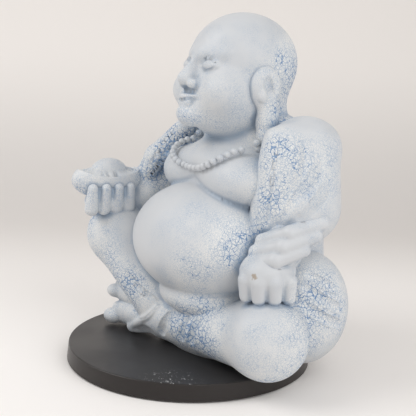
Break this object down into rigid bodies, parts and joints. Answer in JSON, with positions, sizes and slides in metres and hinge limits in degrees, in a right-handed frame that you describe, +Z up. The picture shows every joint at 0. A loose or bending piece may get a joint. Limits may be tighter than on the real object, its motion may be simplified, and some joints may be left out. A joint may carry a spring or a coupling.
{
  "type": "seated laughing Buddha statue on a turning base",
  "caption": "Seated laughing Buddha of joined carved blocks with crackle paint, ingot in one hand and sack in the other, on a round black base that turns on a ball bearing.",
  "frame": {"origin": "on the axis the round base turns about, at the underside of the rubber pad, which is the level it stands on", "axes": "+Z up; the figure faces -Y; +X is the figure's own left"},
  "size_m": [0.358, 0.307, 0.4265],
  "materials": {
    "crackle_paint": "carved wood, cream crackle paint broken over a blue coat, matt",
    "black_lacquer": "turned board, satin black lacquer, scuffed",
    "birch_board": "board, stained dark",
    "pad_rubber": "matt non-slip rubber",
    "zinc_steel": "pressed, zinc plated",
    "ball_steel": "polished",
    "cage_nylon": "moulded, natural",
    "screw_steel": "dark oiled",
    "insert_brass": "turned",
    "beech_dowel": "plain"
  },
  "bodies": {
    "base": {"foot_plate": "birch_board", "rubber_pad": "pad_rubber", "lower_race": "zinc_steel", "lower_race_screws": "screw_steel"},
    "ball_ring": {"bearing_balls": "ball_steel", "ball_cage": "cage_nylon"},
    "figure": {"base_disc": "black_lacquer", "upper_race": "zinc_steel", "upper_race_screws": "screw_steel", "figure_screws": "screw_steel", "washers": "screw_steel", "threaded_inserts": "insert_brass", "dowels": "beech_dowel", "trunk": "crackle_paint", "head": "crackle_paint", "left_ear": "crackle_paint", "right_ear": "crackle_paint", "left_sleeve": "crackle_paint", "right_sleeve": "crackle_paint", "left_forearm": "crackle_paint", "right_forearm": "crackle_paint", "left_hand": "crackle_paint", "right_hand": "crackle_paint", "ingot": "crackle_paint", "left_leg": "crackle_paint", "right_leg": "crackle_paint", "left_foot": "crackle_paint", "right_foot": "crackle_paint", "sack": "crackle_paint", "prayer_beads": "crackle_paint"}
  },
  "joints": [
    {"name": "ball_ring_turn", "type": "hinge", "parent": "base", "child": "ball_ring", "pos_m": [0, 0, 0.0105], "axis": [0, 0, 1], "continuous": true},
    {"name": "base_turn", "type": "hinge", "parent": "base", "child": "figure", "pos_m": [0, 0, 0.0105], "axis": [0, 0, 1], "continuous": true}
  ],
  "couplings": [
    {"joint": "ball_ring_turn", "follows": "base_turn", "ratio": 0.5}
  ]
}
